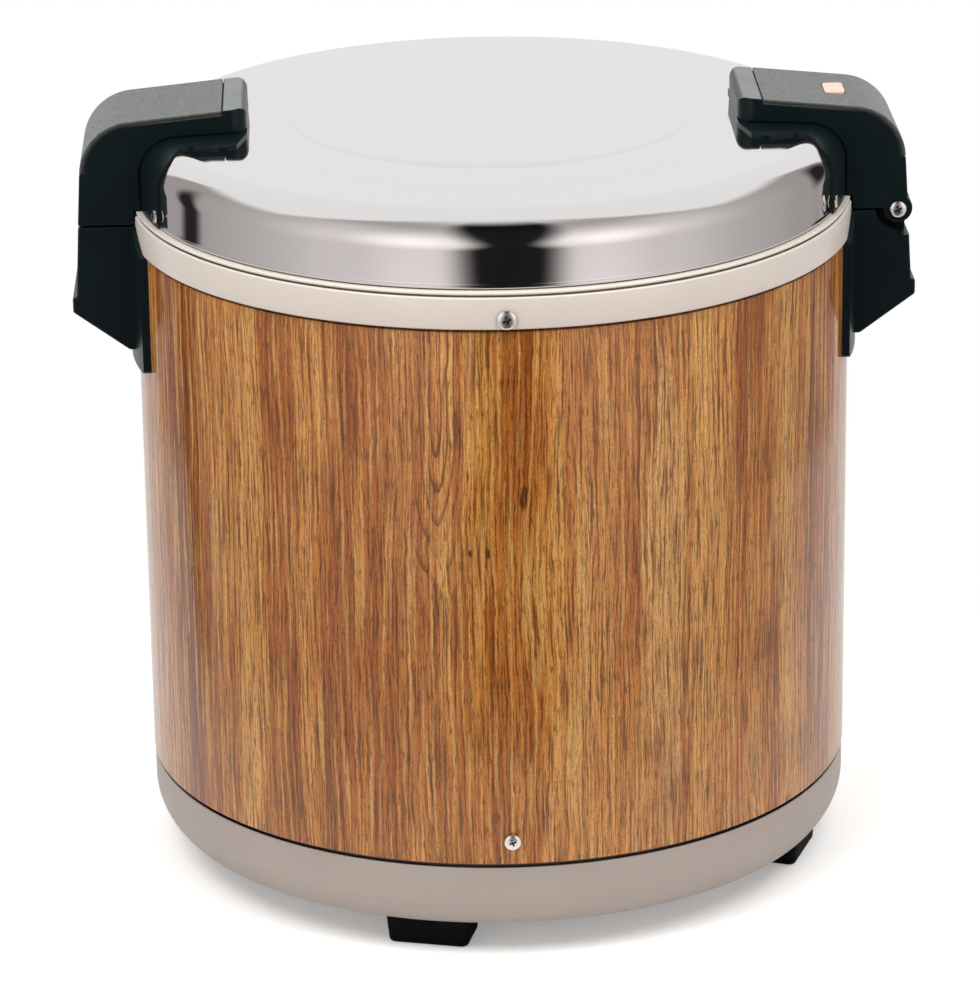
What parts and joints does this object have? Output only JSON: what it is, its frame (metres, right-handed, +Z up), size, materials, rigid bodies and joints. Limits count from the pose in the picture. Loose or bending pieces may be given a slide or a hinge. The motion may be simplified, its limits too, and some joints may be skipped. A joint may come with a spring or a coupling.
{
  "type": "rice cooker",
  "caption": "Drum-shaped electric rice warmer in wood-grain sheet with a hinged polished domed lid, black side handles, pilot lamp and a lift-out inner pot.",
  "frame": {"origin": "on the table surface under the middle of the drum", "axes": "+Z up, +X to the hinge side, -Y to the front"},
  "size_m": [0.4406, 0.3824, 0.4128],
  "materials": {
    "wood_laminate": "wood-grain printed laminate on steel sheet, glossy",
    "band_enamel": "warm pale enamel, smooth",
    "rim_steel": "bright stainless sheet, satin",
    "base_enamel": "warm grey satin paint",
    "foot_rubber": "matte black moulded rubber",
    "bright_steel": "bright zinc-plated steel",
    "plate_steel": "plain galvanised sheet",
    "liner_aluminium": "drawn aluminium, satin",
    "pot_aluminium": "anodised aluminium pot",
    "lid_steel": "mirror-polished stainless steel",
    "pan_steel": "satin stainless steel",
    "gasket_rubber": "grey silicone rubber",
    "handle_plastic": "black moulded phenolic plastic, satin",
    "cover_plastic": "black moulded plastic, semi-gloss",
    "lens_plastic": "translucent orange plastic",
    "lamp_glass": "clear glow-lamp glass",
    "heater_mica": "mica and foil heater",
    "glass_wool": "glass wool",
    "phenolic_brown": "brown phenolic moulding",
    "ceramic_white": "glazed ceramic",
    "wire_sleeve": "glass-sleeved wire"
  },
  "bodies": {
    "body": {"outer_shell": "wood_laminate", "top_band": "band_enamel", "rim_ring": "rim_steel", "base_ring": "base_enamel", "bottom_plate": "plate_steel", "foot_front": "foot_rubber", "foot_right": "foot_rubber", "foot_rear": "foot_rubber", "foot_left": "foot_rubber", "foot_screws": "bright_steel", "foot_nuts": "bright_steel", "band_screws": "bright_steel", "shell_screws": "bright_steel", "liner": "liner_aluminium", "side_heater": "heater_mica", "bottom_heater": "heater_mica", "insulation_side": "glass_wool", "insulation_bottom": "glass_wool", "heat_shield": "plate_steel", "thermostat": "phenolic_brown", "thermal_fuse": "ceramic_white", "terminal_block": "ceramic_white", "wires": "wire_sleeve", "cord_gland": "foot_rubber", "left_bracket": "handle_plastic", "right_bracket": "handle_plastic", "bracket_screws": "bright_steel", "hinge_pin": "bright_steel", "pin_nut": "bright_steel"},
    "pot": {"inner_pot": "pot_aluminium"},
    "lid": {"lid_outer": "lid_steel", "lid_ring": "pan_steel", "lid_gasket": "gasket_rubber", "lid_inner": "pan_steel", "lid_heater": "heater_mica", "lid_insulation": "glass_wool", "left_handle": "handle_plastic", "right_handle": "handle_plastic", "left_handle_cover": "cover_plastic", "right_handle_cover": "cover_plastic", "pilot_lens": "lens_plastic", "pilot_lamp": "lamp_glass", "handle_screws": "bright_steel"}
  },
  "joints": [
    {"name": "lid_hinge", "type": "hinge", "parent": "body", "child": "lid", "pos_m": [0.2105, 0, 0.3517], "axis": [0, 1, 0], "range_deg": [0, 95]},
    {"name": "pot_lift", "type": "slide", "parent": "body", "child": "pot", "axis": [0, 0, 1], "range_m": [0, 0.008]}
  ]
}
